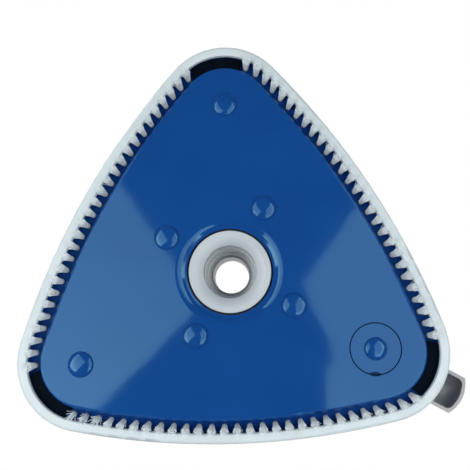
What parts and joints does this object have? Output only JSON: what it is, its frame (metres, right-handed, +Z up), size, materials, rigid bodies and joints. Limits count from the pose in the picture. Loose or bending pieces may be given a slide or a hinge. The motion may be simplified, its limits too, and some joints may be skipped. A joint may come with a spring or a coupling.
{
  "type": "manual vacuum head",
  "caption": "Triangular manual pool vacuum head with brushed underside, soft bumper, swivelling hose spigot and a fold-back forked pole handle.",
  "frame": {"origin": "on the hub axis, in the plane that the bristle tips stand on", "axes": "+Z up along the hub axis, out of the hose spigot; +Y towards the rear corner that the handle lies over; +X to the right"},
  "size_m": [0.2966, 0.3154, 0.09],
  "materials": {
    "blue_plastic": "glossy moulded",
    "navy_plastic": "satin moulded",
    "pale_vinyl": "smooth soft vinyl",
    "pale_grey_plastic": "satin moulded",
    "grey_plastic": "satin moulded",
    "bristle_nylon": "fine translucent filaments",
    "black_rubber": "matt",
    "white_nylon": "satin",
    "stainless": "polished stainless",
    "ballast_steel": "dark coated"
  },
  "bodies": {
    "head": {"base_plate": "blue_plastic", "top_shell": "blue_plastic", "access_plug": "blue_plastic", "bumper": "pale_vinyl", "plug_seal": "black_rubber", "thrust_washer": "white_nylon", "handle_bracket": "grey_plastic", "pivot_pin_left": "stainless", "pivot_pin_right": "stainless", "shell_screws": "stainless", "bracket_screws": "stainless", "corner_seal_rear": "black_rubber", "weight_rear": "ballast_steel", "corner_seal_front_left": "black_rubber", "weight_front_left": "ballast_steel", "corner_seal_front_right": "black_rubber", "weight_front_right": "ballast_steel", "brush_strip_left": "navy_plastic", "bristles_left": "bristle_nylon", "brush_strip_front": "navy_plastic", "bristles_front": "bristle_nylon", "brush_strip_right": "navy_plastic", "bristles_right": "bristle_nylon"},
    "neck": {"neck_seal": "black_rubber", "swivel_neck": "pale_grey_plastic"},
    "handle": {"handle": "grey_plastic", "spring_clip": "stainless"},
    "button_left": {"button_left": "pale_grey_plastic"},
    "button_right": {"button_right": "pale_grey_plastic"}
  },
  "joints": [
    {"name": "neck_swivel", "type": "hinge", "parent": "head", "child": "neck", "pos_m": [0, 0, 0.05], "axis": [0, 0, 1], "continuous": true},
    {"name": "handle_pivot", "type": "hinge", "parent": "head", "child": "handle", "pos_m": [0, 0, 0.063], "axis": [1, 0, 0], "range_deg": [0, 180]},
    {"name": "button_left_press", "type": "slide", "parent": "handle", "child": "button_left", "axis": [1, 0, 0], "range_m": [0, 0.0054], "stiffness_N_per_m": 600, "springref_m": -0.002, "deforming": ["spring_clip"]},
    {"name": "button_right_press", "type": "slide", "parent": "handle", "child": "button_right", "axis": [-1, 0, 0], "range_m": [0, 0.0054], "stiffness_N_per_m": 600, "springref_m": -0.002}
  ]
}
